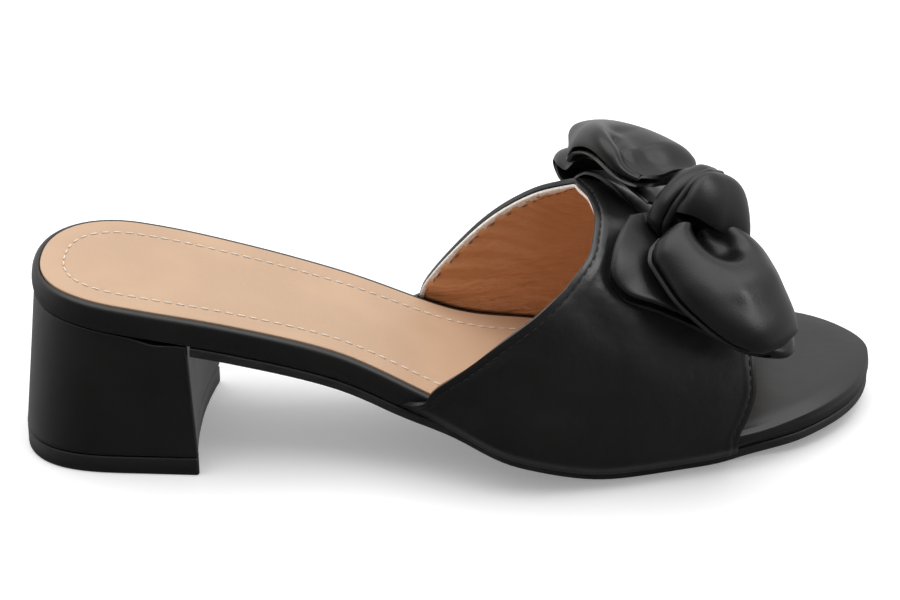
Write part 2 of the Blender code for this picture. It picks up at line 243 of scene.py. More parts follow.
class Nodes:
    """The nodes of a material or of the world's light. node() adds one of any kind."""

    def __init__(self, tree):
        self.tree = tree

    def node(self, kind, settings, sockets, output=0):
        made = self.tree.nodes.new("ShaderNode" + kind)
        for key, value in settings.items():
            setattr(made, key, value)
        for key, value in sockets.items():
            self.feed(made.inputs[key], value)
        return Value(self, made.outputs[output])

    def feed(self, socket, value):
        if isinstance(value, Value):
            self.tree.links.new(value.socket, socket)
        else:
            socket.default_value = value


class Finish(Nodes):
    """A material. look() sets or links the shader's own sockets."""

    def __init__(self, name):
        self.material = bpy.data.materials.new(name)
        self.material.use_nodes = True
        super().__init__(self.material.node_tree)
        self.shader = self.tree.nodes["Principled BSDF"]
        self.place = self.node("TexCoord", {}, {}, "Object")

    def noise(self, size, detail=2.0, stretch=(1, 1, 1)):
        """Soft noise from 0 to 1, whose marks are about size across, in metres, times stretch."""
        scale = [1 / (size * part) for part in stretch]
        place = self.node("Mapping", {}, {"Vector": self.place, "Scale": scale})
        return self.node("TexNoise", {}, {"Vector": place, "Scale": 1.0, "Detail": detail}, "Fac")

    def cells(self, size):
        """Distance from the middle of small round cells, as on embossed grain."""
        place = self.node("Mapping", {}, {"Vector": self.place, "Scale": (1 / size,) * 3})
        sockets = {"Vector": place, "Scale": 1.0}
        return self.node("TexVoronoi", {"feature": "SMOOTH_F1"}, sockets, "Distance")

    def mix(self, share, first, second):
        """A colour between two colours."""
        sockets = {"Factor": share, 6: (*first, 1) if isinstance(first, tuple) else first,
                   7: (*second, 1) if isinstance(second, tuple) else second}
        return self.node("Mix", {"data_type": "RGBA"}, sockets, 2)

    def relief(self, height, depth, under=None):
        """Bump from a height of 0 to 1 that stands for depth, in metres."""
        sockets = {"Height": height, "Strength": 1.0, "Distance": depth}
        if under:
            sockets["Normal"] = under
        return self.node("Bump", {}, sockets)

    def look(self, **sockets):
        for key, value in sockets.items():
            self.feed(self.shader.inputs[key.replace("_", " ")], value)
        return self.material


rubber = Finish("black_rubber")
speckle = rubber.noise(0.0004, 3)
buffing = rubber.noise(0.006, 2, (1, 1, 0.3))
black_rubber = rubber.look(
    Base_Color=rubber.mix(buffing, (0.010, 0.010, 0.010), (0.022, 0.021, 0.020)),
    Roughness=buffing.ramp(0.3, 0.7, 0.45, 0.60),
    Normal=rubber.relief(speckle, 0.00005))

half_round = [(SOLE_ROUND * (1 - math.sin(a)), SOLE_ROUND * (1 - math.cos(a)))
              for a in np.linspace(0, math.pi / 2, 5)]
under = SOLE_DROP + SOLE
profile = [(SOLE_ROUND, under, f) for f in (1, 0.8, 0.5, 0.2)]
profile += [(inset, under - up, 0) for inset, up in half_round]
profile += [(inset, SOLE_DROP + up, 0) for inset, up in half_round[::-1]]
profile += [(SOLE_ROUND, SOLE_DROP, f) for f in (0.2, 1)]
rings = [bed_ring(SOLE_START_SHARE, 1, inset, drop, -SOLE_TUCK, inward=inward)
         for inset, drop, inward in profile]
outsole = ring_solid("rubber_outsole", rings, [black_rubber], sharp=60)
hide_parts("outsole")


# Footbed
# A padded board wrapped in thin black faux leather, which shows as a rounded rim beside the sock
# and as the bare toe bed, whose edge falls softly to its side. It is pulled tight under the board.
BOARD_ROUND = 0.0016
BOARD_BULGE = 0.0003
BOARD_TUCK = 0.0030
BEAD_RISE = 0.0008
BEAD_FOOT = 0.0024
TOE_ROLL = 0.0022
TOE_ROLL_REACH = 0.0075
TOE_ROLL_DEPTH = 0.0040
TOE_ROLL_STARTS = (0.79, 0.89)
TOE_ROLL_FADES = (0.005, 0.040)
TOE_ROLL_MEDIAL_SHARE = 0.25
TOE_HALF_WIDTH = 0.030
GRAIN_DEPTH = 0.00002


def toe_rolled(ring, inset, drop, inward):
    """A ring of the footbed whose toe has no bead, but falls softly to its side, least medially."""
    place = max(inset, 0) + TOE_HALF_WIDTH * inward
    edge = (1 - min(place / TOE_ROLL_REACH, 1)) ** 2
    side = 1 - np.clip((drop - BOARD_DROP - BOARD_ROUND) / TOE_ROLL_DEPTH, 0, 1)
    toe = smooth(*TOE_ROLL_STARTS, share_at(ring[:, 0]))
    edge = edge * (1 - (1 - TOE_ROLL_MEDIAL_SHARE) * smooth(*TOE_ROLL_FADES, ring[:, 1]))
    ring[:, 2] -= toe * (TOE_ROLL * edge * side + max(BOARD_DROP - drop, 0))
    return ring


def faux_leather(name, roughness, ripple=0.00012, shine=0.5):
    """Black coated cloth: a fine pressed grain over a soft unevenness of the layers below."""
    leather = Finish(name)
    pores = leather.cells(0.00045)
    waves = leather.noise(0.007, 2)
    wear = leather.noise(0.018, 3)
    skin = leather.relief(pores, GRAIN_DEPTH, leather.relief(waves, ripple))
    leather.look(
        Base_Color=leather.mix(wear, (0.0075, 0.0075, 0.0076), (0.0125, 0.0122, 0.0118)),
        Roughness=wear.ramp(0.3, 0.7, roughness - 0.04, roughness + 0.05),
        Specular_IOR_Level=shine,
        Normal=skin)
    return leather


wrap = faux_leather("footbed_wrap", 0.36, shine=0.44)
quarter = [(1 - math.sin(a), 1 - math.cos(a)) for a in np.linspace(0, math.pi / 2, 7)]
bead = BOARD_DROP - BEAD_RISE
profile = [(SOLE_ROUND, UNDER_DROP, f) for f in (1, 0.5)]
profile += [(SOLE_ROUND * along, UNDER_DROP - SOLE_ROUND * rise, 0) for along, rise in quarter]
low = UNDER_DROP - SOLE_ROUND
high = bead + BOARD_ROUND
profile += [(-BOARD_BULGE * math.sin(math.pi * k), low + (high - low) * k, 0)
            for k in np.linspace(0, 1, 8)[1:-1]]
profile += [(BOARD_ROUND * along, bead + BOARD_ROUND * rise, 0) for along, rise in quarter[::-1]]
profile += [(0.0019, bead + 0.0001, 0), (0.0022, BOARD_DROP - 0.0002, 0), (BEAD_FOOT, BOARD_DROP, 0)]
profile += [(BEAD_FOOT, BOARD_DROP, f) for f in np.linspace(0, 1, 14)[1:] ** 1.3]
rings = []
for inset, drop, inward in profile:
    tuck = -BOARD_TUCK * smooth(0.25, 1.1, (drop - BOARD_DROP) / BOARD)
    rings.append(toe_rolled(bed_ring(0, 1, inset, drop, tuck, inward=inward), inset, drop, inward))
footbed = ring_solid("padded_footbed", rings, [wrap.material])
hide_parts("footbed")


# Sock
# A tan lining glued on the footbed from the heel to under the upper. A stitched line runs inside
# its edge, pressed into the padding, and holds the padding in place.
SOCK_MARGIN = 0.0023
SOCK_END_SHARE = 0.78
SOCK_ROUND = 0.0003
SEAM_INSET = 0.0088
SEAM_DEPTH = 0.00022
SEAM_HALF = 0.0009
SEAM_END_GAP = 12
THREAD = 0.00026
SOCK_OUTWARD = (0.1, 0, 1)

tan = Finish("tan_sock_lining")
pores = tan.cells(0.0006)
cloud = tan.noise(0.03, 2)
fleck = tan.noise(0.0012, 2)
tone = tan.mix(cloud.ramp(0.35, 0.65), (0.53, 0.35, 0.225), (0.585, 0.39, 0.255))
tan_lining = tan.look(
    Base_Color=tan.mix(fleck.ramp(0.45, 0.8, 0, 0.35), tone, (0.58, 0.38, 0.25)),
    Roughness=cloud.ramp(0.3, 0.7, 0.42, 0.52),
    Normal=tan.relief(pores, 0.00003, tan.relief(cloud, 0.0002)))

profile = [(SOCK_MARGIN, SOCK, 1), (SOCK_MARGIN, SOCK, 0)]
profile += [(SOCK_MARGIN + SOCK_ROUND * (1 - math.sin(a)), SOCK_ROUND * (1 - math.cos(a)), 0)
            for a in np.linspace(math.pi / 2, 0, 4)]
profile += [(inset, 0, 0) for inset in np.linspace(SOCK_MARGIN + 0.001, SEAM_INSET - SEAM_HALF, 5)]
profile += [(SEAM_INSET + SEAM_HALF * k, SEAM_DEPTH * (1 + math.cos(math.pi * k)) / 2, 0)
            for k in np.linspace(-1, 1, 9)[1:]]
profile += [(SEAM_INSET + SEAM_HALF, 0, f) for f in np.linspace(0, 1, 10)[1:]]
rings = [bed_ring(0, SOCK_END_SHARE, inset, drop, inward=inward) for inset, drop, inward in profile]
sock = ring_solid("tan_sock", rings, [tan_lining], sharp=60)
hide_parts("sock")


def walk(path, pitch):
    """Points and directions at even steps of pitch along a dense path."""
    path = np.asarray(path)
    length = np.concatenate(([0], np.cumsum(np.linalg.norm(np.diff(path, axis=0), axis=1))))
    at = np.arange(pitch / 2, length[-1], pitch)
    spots = np.stack([np.interp(at, length, path[:, k]) for k in range(3)], axis=1)
    ahead = np.stack([np.interp(at + pitch / 4, length, path[:, k]) for k in range(3)], axis=1)
    back = np.stack([np.interp(at - pitch / 4, length, path[:, k]) for k in range(3)], axis=1)
    return spots, ahead - back


def stitches(name, path, lift, pitch, length, thread, look):
    """A row of sewn stitches along a path: short threads that dive in at both ends.

    lift gives the way out of the surface at each point.
    """
    bm = bmesh.new()
    spots, ways = walk(path, pitch)
    for spot, way in zip(spots, ways):
        out = Vector(lift(spot))
        ahead = Vector(way).normalized()
        side = out.cross(ahead).normalized()
        out = ahead.cross(side)
        turn = Matrix((ahead, side, out)).transposed().to_4x4()
        turn.translation = Vector(spot)
        size = Matrix.Diagonal((length / 2, thread, thread, 1))
        bmesh.ops.create_uvsphere(bm, u_segments=6, v_segments=6, radius=1, matrix=turn @ size)
    return add_object(name, bm, [look])


def plain_thread(name, colour):
    thread = Finish(name)
    twist = thread.noise(0.0004, 1)
    return thread.look(Base_Color=thread.mix(twist, colour, tuple(0.7 * part for part in colour)),
                       Roughness=0.7)


cream_thread = plain_thread("cream_thread", (0.95, 0.86, 0.76))
seam = bed_ring(0, SOCK_END_SHARE - 0.02, SEAM_INSET, 0.00004)
reach = len(seam) // 2 - SEAM_END_GAP
seam = np.concatenate((seam[len(seam) // 2:][-reach:], seam[:reach]))
sock_seam = stitches("sock_stitches", seam, lambda spot: SOCK_OUTWARD, pitch=0.0034, length=0.0026,
                     thread=THREAD, look=cream_thread)


# Heel block
# A plastic block under a cover of the same black faux leather. The cover is glued round the back
# and sides and turned a few millimetres on to the hollow front face.
HEEL_LENGTH = 0.0513
HEEL_WIDTH = 0.0516
HEEL_TOP_LENGTH = 0.0452
HEEL_POWER = 2.8
HEEL_CURVE_SHARE = 0.60
BREAST_HOLLOW = 0.0025
BREAST_ROUND = 0.0009
TIP = 0.0055
HEEL_EDGE = 0.0005
SEAM_GAP = 0.0011
SEAM_GAP_PLACE = 0.80
SEAM_GAP_REACH = 0.11


def heel_ring(rise, drop=0.0, inset=0.0, inward=0.0, steps=40):
    """Plan of the heel at a rise from 0 at the floor to 1 under the footbed."""
    curve = 1 - np.cos(np.linspace(0.045, math.pi / 2, steps))
    corner = [(1 - BREAST_ROUND / HEEL_LENGTH * (1 - math.sin(a)), BREAST_ROUND * (1 - math.cos(a)))
              for a in np.linspace(0, math.pi / 2, 7)]
    front = np.linspace(1, 0, 8)[1:-1]
    along = np.concatenate((curve[:-1] * corner[0][0], [share for share, _ in corner], np.ones(len(front))))
    narrow = np.concatenate((np.zeros(steps - 1), [inside for _, inside in corner],
                             np.full(len(front), BREAST_ROUND)))
    across = np.concatenate((np.ones(len(along) - len(front)), front))
    hollow = BREAST_HOLLOW * (1 - across ** 2)
    round_off = np.clip(1 - along / HEEL_CURVE_SHARE, 0, 1)
    floor_half = HEEL_WIDTH / 2 * (1 - round_off ** HEEL_POWER) ** (1 / HEEL_POWER)
    floor_x = HEEL_LENGTH * (along - 0.5) - hollow
    top_x = GAP - HEEL_BACK + HEEL_TOP_LENGTH * along - hollow
    sides = []
    for side in (-1, 1):
        floor_y = side * (floor_half - narrow) * across
        edge = bed_edge(top_x, side) - side * (GAP + narrow) - HEEL_SIDE
        top_y = HEEL_SIDE + edge * across
        floor = np.stack((floor_x, floor_y), axis=1)
        top = np.stack((top_x, top_y), axis=1)
        sides.append(floor * (1 - rise) + top * rise)
    plan = np.concatenate((sides[0], sides[1][::-1]))
    centre = plan.mean(axis=0)
    away = (plan - centre) / np.linalg.norm(plan - centre, axis=1)[:, None]
    plan = plan - away * inset
    plan = plan * (1 - inward) + centre * inward
    foot = TIP + GAP
    top_height = bed_top(np.concatenate((top_x, top_x[::-1]))) - UNDER_DROP - GAP
    top_height[:len(along)] -= SEAM_GAP * np.exp(-((along - SEAM_GAP_PLACE) / SEAM_GAP_REACH) ** 2)
    height = foot + (top_height - foot) * rise
    return np.column_stack((plan, height - drop))


cover = faux_leather("heel_cover", 0.33, ripple=0.00006)
profile = [(0, 0, HEEL_EDGE, 1), (0, 0, HEEL_EDGE, 0)]
profile += [(0, -HEEL_EDGE / 2, HEEL_EDGE / 7, 0), (0, -HEEL_EDGE, 0, 0)]
profile += [(rise, 0, 0, 0) for rise in np.linspace(0.04, 0.96, 13)]
profile += [(1, HEEL_EDGE, 0, 0), (1, HEEL_EDGE / 2, HEEL_EDGE / 7, 0)]
profile += [(1, 0, HEEL_EDGE, 0), (1, 0, HEEL_EDGE, 1)]
rings = [heel_ring(*row) for row in profile]
heel = ring_solid("covered_heel", rings, [cover.material], sharp=60)
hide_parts("heel_block")


# Heel tip
# The walking piece of the heel: a flat slab of hard black rubber, nailed under the block and
# ground flush with the cover.
TIP_EDGE = 0.0005

tip_rubber = Finish("black_tip_rubber")
speckle = tip_rubber.noise(0.0003, 3)
tip_black = tip_rubber.look(
    Base_Color=(0.011, 0.011, 0.011, 1),
    Roughness=speckle.ramp(0.3, 0.7, 0.38, 0.5),
    Normal=tip_rubber.relief(speckle, 0.00003))
profile = [(0, TIP_EDGE, 1), (0, TIP_EDGE, 0), (TIP_EDGE / 3, TIP_EDGE / 3, 0), (TIP_EDGE, 0, 0)]
profile += [(TIP - TIP_EDGE, 0, 0), (TIP, TIP_EDGE, 0), (TIP, TIP_EDGE, 1)]
rings = []
for height, inset, inward in profile:
    ring = heel_ring(0, 0, inset, inward)
    ring[:, 2] = height
    rings.append(ring)
heel_tip = ring_solid("rubber_heel_tip", rings, [tip_black], sharp=60)
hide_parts("heel_tip")


# Upper
# One wide band of black faux leather over a soft stiffener, lasted down both sides of the board.
# Its topline and its front edge are turned in and stitched, which leaves a soft rolled rim.
WALL = 0.0022
LINING = 0.0008
INSTEP_HEIGHT = 0.074
FRONT_HEIGHT = 0.044
INSTEP_SHARE = 0.665
FRONT_SHARE = 0.847
CREST_FALL = (INSTEP_HEIGHT - FRONT_HEIGHT) / (FRONT_SHARE - INSTEP_SHARE)
CROWN_EASE_SHARE = 0.010
CROWN_POWER = 5
CROWN_GAIN = 1.5
MEDIAL_FULL = 0.0016
MEDIAL_FULL_ANGLE = 146
MEDIAL_FULL_SPREAD = 18
MEDIAL_FULL_ENDS = (0.64, 0.74)
LAST_POWER = 2.3
REAR_SLANT = 0.008
TUCK = 0.0032
EDGE_EASE = 3.0
MOST_LEAN = 1.9
SIDE_CROWDING = 0.35

Edge = namedtuple("Edge", "angle topline front")
EDGES = (
    Edge(0, 0.468, 0.837),
    Edge(8, 0.508, 0.849),
    Edge(22, 0.563, 0.857),
    Edge(34, 0.605, 0.855),
    Edge(49, 0.641, 0.851),
    Edge(63, 0.661, 0.849),
    Edge(78, 0.664, 0.848),
    Edge(105, 0.641, 0.848),
    Edge(122, 0.634, 0.848),
    Edge(132, 0.621, 0.847),
    Edge(146, 0.583, 0.846),
    Edge(162, 0.518, 0.843),
    Edge(180, 0.447, 0.835),
)


def last_section(x, out):
    """Middle, half width, base and height of the last's section, out from the footbed's side."""
    crest = INSTEP_HEIGHT - CREST_FALL * (share_at(x) - INSTEP_SHARE)
    lateral = bed_edge(x, -1) - out
    medial = bed_edge(x, 1) + out
    base = bed_top(x) - BOARD_DROP
    return (lateral + medial) / 2, (medial - lateral) / 2, base, crest - WALL - GAP + out - base


def crown_dip(x, angle):
    """How far the crest lies below its straight line behind the instep, where the topline rounds it."""
    behind = CROWN_EASE_SHARE * np.logaddexp(0, (INSTEP_SHARE - share_at(x)) / CROWN_EASE_SHARE)
    return CROWN_GAIN * CREST_FALL * behind * np.sin(angle) ** CROWN_POWER


def medial_rise(x, angle):
    """How much fuller the inner side of the instep is, behind the band's middle."""
    place = np.exp(-((np.degrees(angle) - MEDIAL_FULL_ANGLE) / MEDIAL_FULL_SPREAD) ** 2)
    return MEDIAL_FULL * place * (1 - smooth(*MEDIAL_FULL_ENDS, share_at(x)))


def last_point(x, angle, out):
    """Points of the last's face: the angle goes over it from 0 at the lateral side to pi at the medial."""
    middle, half, base, height = last_section(x, out)
    swing = -np.sign(np.cos(angle)) * np.abs(np.cos(angle)) ** (2 / LAST_POWER)
    rise = height * np.abs(np.sin(angle)) ** (2 / LAST_POWER) - crown_dip(x, angle) + medial_rise(x, angle)
    return np.stack((x, middle + half * swing, base + rise), axis=-1)


def edge_share(column, angle):
    """Share of the footbed's length where a free edge crosses an angle."""
    shares = [getattr(edge, column) for edge in EDGES]
    return eased([edge.angle for edge in EDGES], shares, np.degrees(angle), EDGE_EASE)


def edge_lean(column, angle):
    """How much longer a cut along X is than a cut square to the edge."""
    step = 0.01
    sides = [np.clip(angle + way * step, 0, math.pi) for way in (-1, 1)]
    ends = [last_point(x_at(edge_share(column, at)), at, WALL) for at in sides]
    run = ends[1] - ends[0]
    return np.sqrt(1 + run[:, 0] ** 2 / (run[:, 1] ** 2 + run[:, 2] ** 2))


def upper_sheet(insets, front_insets, out, columns=150, middle=36, feet=7, relief=None):
    """Rows of points over the last, from the topline to the front edge.

    insets are the distances of the first rows from the topline and front_insets those of the last
    rows from the front edge. feet rows go down beside the board at each side. out is the distance
    from the footbed's side, and relief adds to it from the grid's distances to both edges.
    """
    even = np.linspace(0, math.pi, columns)
    angle = (1 - np.cos(even)) / 2 * math.pi * SIDE_CROWDING + even * (1 - SIDE_CROWDING)
    back = x_at(edge_share("topline", angle))
    front = x_at(edge_share("front", angle))
    back_lean = np.minimum(edge_lean("topline", angle), MOST_LEAN)
    front_lean = np.minimum(edge_lean("front", angle), MOST_LEAN)
    rows = [back + back_lean * inset for inset in insets]
    ahead = [front - front_lean * inset for inset in front_insets]
    rows += [rows[-1] + (ahead[0] - rows[-1]) * k for k in np.linspace(0, 1, middle + 2)[1:-1]]
    rows += ahead
    grid = []
    for x in rows:
        from_back = (x - back) / back_lean
        from_front = (front - x) / front_lean
        lift = out + 0 * angle
        if relief is not None:
            lift = lift + relief(x, angle, from_back, from_front)
        line = last_point(x, angle, lift)
        ends = []
        for end, way in ((0, -1), (-1, 1)):
            share = (x[end] - back[end]) / (front[end] - back[end])
            side = []
            for k in np.linspace(0, 1, feet + 1)[1:]:
                foot_x = x[end] - REAR_SLANT * k * (1 - share) ** 4
                tuck = TUCK * smooth(0.25, 1.1, k)
                y = bed_edge(foot_x, way) + way * (lift[end] - tuck)
                side.append((foot_x, y, bed_top(foot_x) - BOARD_DROP - (BOARD - GAP) * k))
            ends.append(side)
        grid.append(np.concatenate((ends[0][::-1], line, ends[1])) if feet else line)
    return np.array(grid)


ROLL_WIDTH = {"topline": 0.0038, "front": 0.0030}
ROLL_RISE = 0.0002
STITCH_INSET = 0.0015
SEAM_GROOVE = 0.0002

Crease = namedtuple("Crease", "start_share start_angle end_share end_angle width depth")
CREASES = (
    Crease(0.475, 3, 0.60, 22, 0.0020, 0.00050),
    Crease(0.480, 0, 0.66, 12, 0.0030, -0.00060),
    Crease(0.520, 12, 0.63, 30, 0.0035, -0.00050),
    Crease(0.540, 5, 0.70, 6, 0.0045, 0.00060),
    Crease(0.640, 44, 0.70, 30, 0.0050, -0.00050),
    Crease(0.700, 28, 0.80, 20, 0.0090, 0.00060),
    Crease(0.480, 176, 0.60, 160, 0.0025, 0.00050),
    Crease(0.500, 180, 0.66, 168, 0.0035, -0.00050),
)
ARC = 0.055


def crease_relief(x, angle):
    """Soft troughs and ridges pulled into the leather where it is drawn down to the board."""
    total = np.zeros(len(x))
    spot = np.stack((share_at(x) * BED_LENGTH, angle * ARC), axis=1)
    for crease in CREASES:
        a = np.array((crease.start_share * BED_LENGTH, math.radians(crease.start_angle) * ARC))
        b = np.array((crease.end_share * BED_LENGTH, math.radians(crease.end_angle) * ARC))
        run = b - a
        k = np.clip((spot - a) @ run / (run @ run), 0, 1)
        gap = np.linalg.norm(spot - a - k[:, None] * run, axis=1)
        total += crease.depth * np.exp(-(gap / crease.width) ** 2) * np.sin(math.pi * (0.15 + 0.8 * k))
    return total


def outer_relief(x, angle, from_back, from_front):
    """Creases, with the thick turned allowance and the stitched groove beside both free edges."""
    total = crease_relief(x, angle)
    for away, width in ((from_back, ROLL_WIDTH["topline"]), (from_front, ROLL_WIDTH["front"])):
        total = total + ROLL_RISE * (1 - smooth(width - 0.0006, width + 0.0010, away))
        total = total - SEAM_GROOVE * np.exp(-((away - STITCH_INSET) / 0.0004) ** 2)
    return total


def thicken(sheet, thickness, way):
    """Gives a sheet its wall, outwards where way is 1 and inwards where it is -1."""
    wall = sheet.modifiers.new("wall", "SOLIDIFY")
    wall.thickness = thickness
    wall.offset = way


def round_rim(sheet, width):
    """Rounds the rim of a thickened sheet like a turned hem."""
    rim = sheet.modifiers.new("rim", "BEVEL")
    rim.width = width
    rim.segments = 3
    rim.limit_method = "ANGLE"
    rim.angle_limit = math.radians(50)


edge_rows = np.array((0, 0.3, 0.6, 0.9, 1.1, 1.3, 1.5, 1.7, 1.9, 2.2, 2.5, 2.8, 3.1, 3.4, 3.7, 4.0,
                      4.4, 5.2)) / 1000
upper_leather = faux_leather("upper_leather", 0.34, ripple=0.0003, shine=0.62)
outer = upper_sheet(edge_rows, edge_rows[::-1], GAP + WALL, relief=outer_relief)
vamp = add_object("vamp_cover", draped(outer[::-1]), [upper_leather.material])
thicken(vamp, WALL - LINING - 0.0001, -1)
round_rim(vamp, 0.0008)
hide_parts("upper")


# Lining
# A brown lining glued inside the upper. Its cut edge shows as a thin frayed cream line right beside
# the rim, and fine wrinkles run along the lining low down.
CREAM_WIDTH = 0.0009
CREAM_COLUMNS = 220
CREAM_FIRST_COLUMN = 44
RAW_WAVE = 0.00010
FRONT_TURN = 0.0022
TURN_WALL = 0.0006
WRINKLE = 0.00030
WRINKLE_PITCH = 0.0007
WRINKLE_RUN = 0.013

brown = Finish("brown_lining")
pores = brown.cells(0.0006)
cloud = brown.noise(0.02, 2)
ripples = brown.noise(0.0016, 3, (8, 1, 1))
tone = brown.mix(cloud.ramp(0.3, 0.7), (0.64, 0.295, 0.125), (0.72, 0.345, 0.16))
brown_lining = brown.look(
    Base_Color=tone,
    Roughness=0.45,
    Normal=brown.relief(ripples, 0.0007, brown.relief(pores, 0.00003)))

cream = Finish("cream_cut_edge")
fray = cream.noise(0.0007, 3)
cream_edge = cream.look(
    Base_Color=cream.mix(fray.ramp(0.4, 0.7), (0.95, 0.91, 0.86), (0.80, 0.70, 0.60)),
    Roughness=0.8,
    Normal=cream.relief(fray, 0.0002))


def wrinkle_relief(x, angle, from_back, from_front):
    """Fine ripples that run along the foot, strongest near the board."""
    low = np.minimum(angle, math.pi - angle)
    strength = WRINKLE * (1 - smooth(0.45, 1.1, low))
    along = x / WRINKLE_RUN
    wave = np.sin(angle * ARC / WRINKLE_PITCH + 2.2 * np.sin(along) + 1.3 * np.sin(2.3 * along + 1))
    return strength * wave * (0.6 + 0.4 * np.sin(1.7 * along + angle * 9))


def sheet_piece(name, rows, look, thickness):
    """A sheet over the last, thickened inwards."""
    sheet = add_object(name, draped(rows[::-1]), [look])
    thicken(sheet, thickness, -1)


inside = GAP + LINING
turn = np.linspace(0.0004, FRONT_TURN + 0.0006, 5)
hem = upper_sheet(turn, turn[::-1], inside, feet=0)
sheet_piece("turned_front", hem[-len(turn):], upper_leather.material, TURN_WALL)
count = np.arange(CREAM_COLUMNS)
wave = RAW_WAVE * (np.sin(count * 0.9) + np.sin(count * 2.3 + 1) * 0.7 + np.sin(count * 0.37) * 0.8)
raw = [0.0001 + CREAM_WIDTH * k + wave * k for k in np.linspace(0, 1, 4)]
cut = upper_sheet(raw, raw[::-1], inside, feet=0, columns=CREAM_COLUMNS)
sheet_piece("cut_lining_edge", cut[:len(raw), CREAM_FIRST_COLUMN:], cream_edge, LINING + 0.0001)
back_rows = np.array((CREAM_WIDTH - 0.0003, 0.002, 0.003))
front_rows = np.array((0.005, 0.0032, FRONT_TURN))
inner = upper_sheet(back_rows, front_rows, inside, columns=300, middle=70, feet=0, relief=wrinkle_relief)
sheet_piece("vamp_lining", inner, brown_lining, LINING)


# Topline and front stitches
# Dark thread sewn through the cover and its turned edge, one row beside each free edge outside and
# one below the lining's cut edge inside.
def last_outward(spot):
    """Way out of the last's face at a spot."""
    x, y, z = spot
    middle, half, base, height = (float(part) for part in last_section(np.array(x), WALL + GAP))
    across = (y - middle) / half
    rise = max(0.0, (z - base) / height)
    power = LAST_POWER - 1
    return 0.0, math.copysign(abs(across) ** power / half, across), rise ** power / height


dark_thread = plain_thread("blue_black_thread", (0.012, 0.014, 0.022))
inset = np.array((STITCH_INSET,))
spots = upper_sheet(inset, inset, GAP + WALL + ROLL_RISE - SEAM_GROOVE + 0.0001, feet=0,
                    columns=400, relief=lambda x, angle, *_: crease_relief(x, angle))
for name, row in (("topline_stitches", spots[0]), ("front_stitches", spots[-1])):
    seam = stitches(name, row, last_outward, pitch=0.0027, length=0.0021, thread=0.0002, look=dark_thread)
brown_thread = plain_thread("brown_thread", (0.09, 0.05, 0.03))
below = np.array((CREAM_WIDTH + 0.0005,))
spots = upper_sheet(below, below + FRONT_TURN, inside - LINING - 0.00002, feet=0, columns=400)
for name, row in (("inner_topline_stitches", spots[0]), ("inner_front_stitches", spots[-1])):
    seam = stitches(name, row, last_outward, pitch=0.0027, length=0.0020, thread=0.00015, look=brown_thread)


# Bow loops
# Two ribbons of the same faux leather lie one on the other. Each is folded back on itself at both
# ends into a loop, puffed by hand, and gathered under the knot, which pulls dimples into it.
BOW_SPAN = 0.094
RIBBON_WALL = 0.0010
RIBBON_SLIT = 0.0006
HEM_ROUND_SHARE = 0.42
REST_GAP = 0.0007
TIP_POWER = 4
SLIT_POWER = 10
TIP_CURVE_SHARE = 0.05
KNOT_SHARE = 0.781
KNOT_SIDE = 0.0060
KNOT_RISE = 0.0175
VAMP_END_SHARE = 0.87
STEEPEST = 1.4
HANG_ENDS = (0.60, 0.67)
POCKET_SIDE = -0.24
POCKET_SPREAD = 0.36
POCKET_ENDS = (0.05, 0.50)

Rim = namedtuple("Rim", "reach left right")
Stroke = namedtuple("Stroke", "start end width depth")
